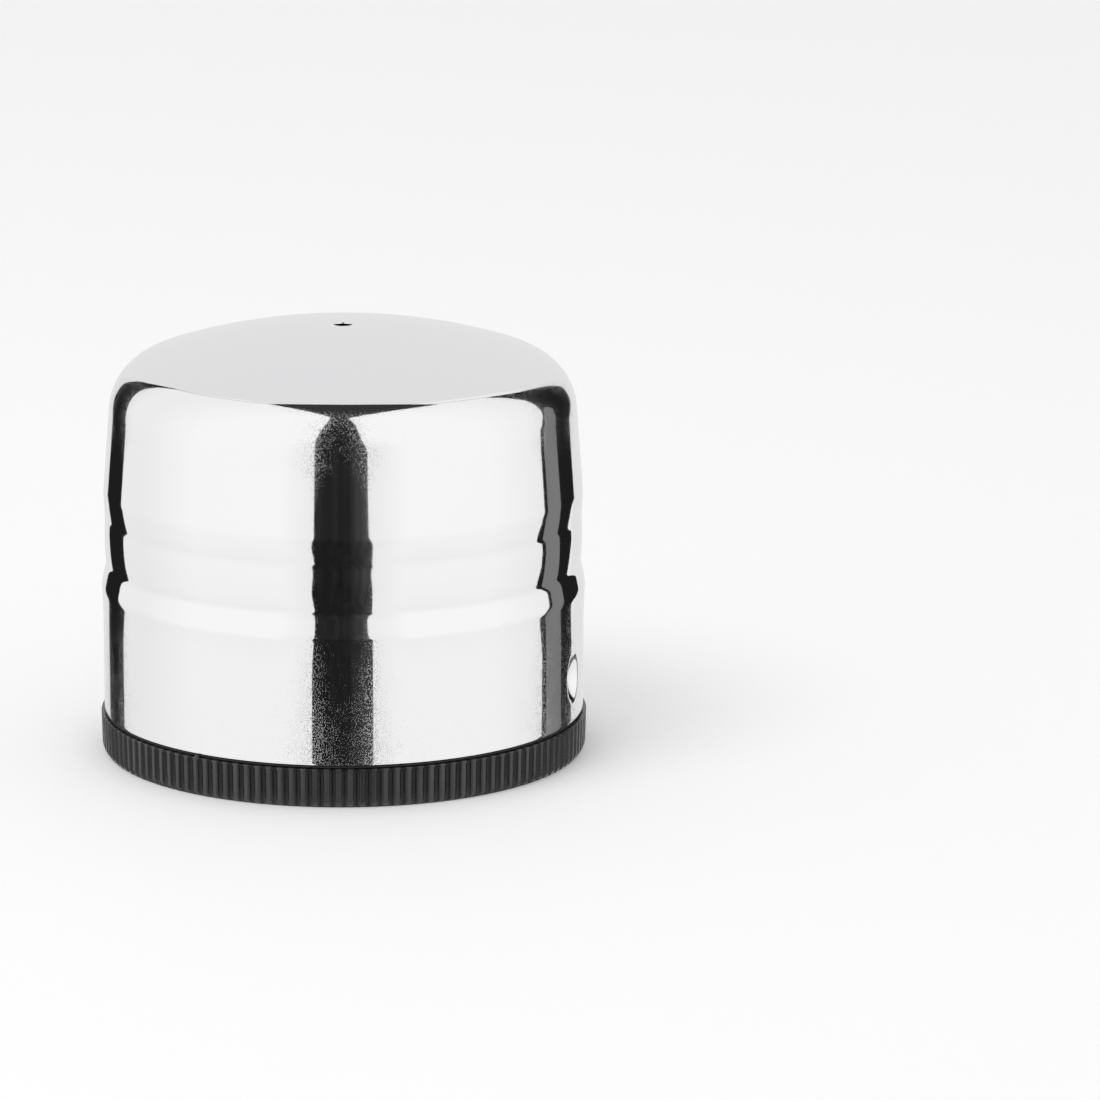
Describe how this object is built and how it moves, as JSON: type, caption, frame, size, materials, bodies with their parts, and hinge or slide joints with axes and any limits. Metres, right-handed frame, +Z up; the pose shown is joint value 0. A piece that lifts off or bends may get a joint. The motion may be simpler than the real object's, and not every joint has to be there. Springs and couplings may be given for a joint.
{
  "type": "table spice shaker",
  "caption": "Squat table shaker: domed polished steel shell with one pouring hole on a black fluted twist-off base with a bayonet collar and a soft seal.",
  "frame": {"origin": "centre of the base, on the plane that it stands on", "axes": "+Z up through the pouring hole, -Y the front, +X to the right seen from the front"},
  "size_m": [0.075, 0.075, 0.0662],
  "materials": {
    "polished_steel": "mirror polished stainless steel, slightly grained towards the rim",
    "soft_seal": "soft matt black elastomer",
    "collar_plastic": "plain moulded black polypropylene",
    "base_plastic": "satin moulded black polypropylene, fluted"
  },
  "bodies": {
    "base": {"fluted_base": "base_plastic", "bayonet_collar": "collar_plastic"},
    "seal": {"seal_ring": "soft_seal"},
    "shell": {"steel_shell": "polished_steel"}
  },
  "joints": [
    {"name": "shell_twist", "type": "hinge", "parent": "base", "child": "seal", "pos_m": [0, 0, 0], "axis": [0, 0, -1], "range_deg": [0, 40]},
    {"name": "shell_lift", "type": "slide", "parent": "seal", "child": "shell", "axis": [0, 0, 1], "range_m": [0, 0.045]}
  ]
}
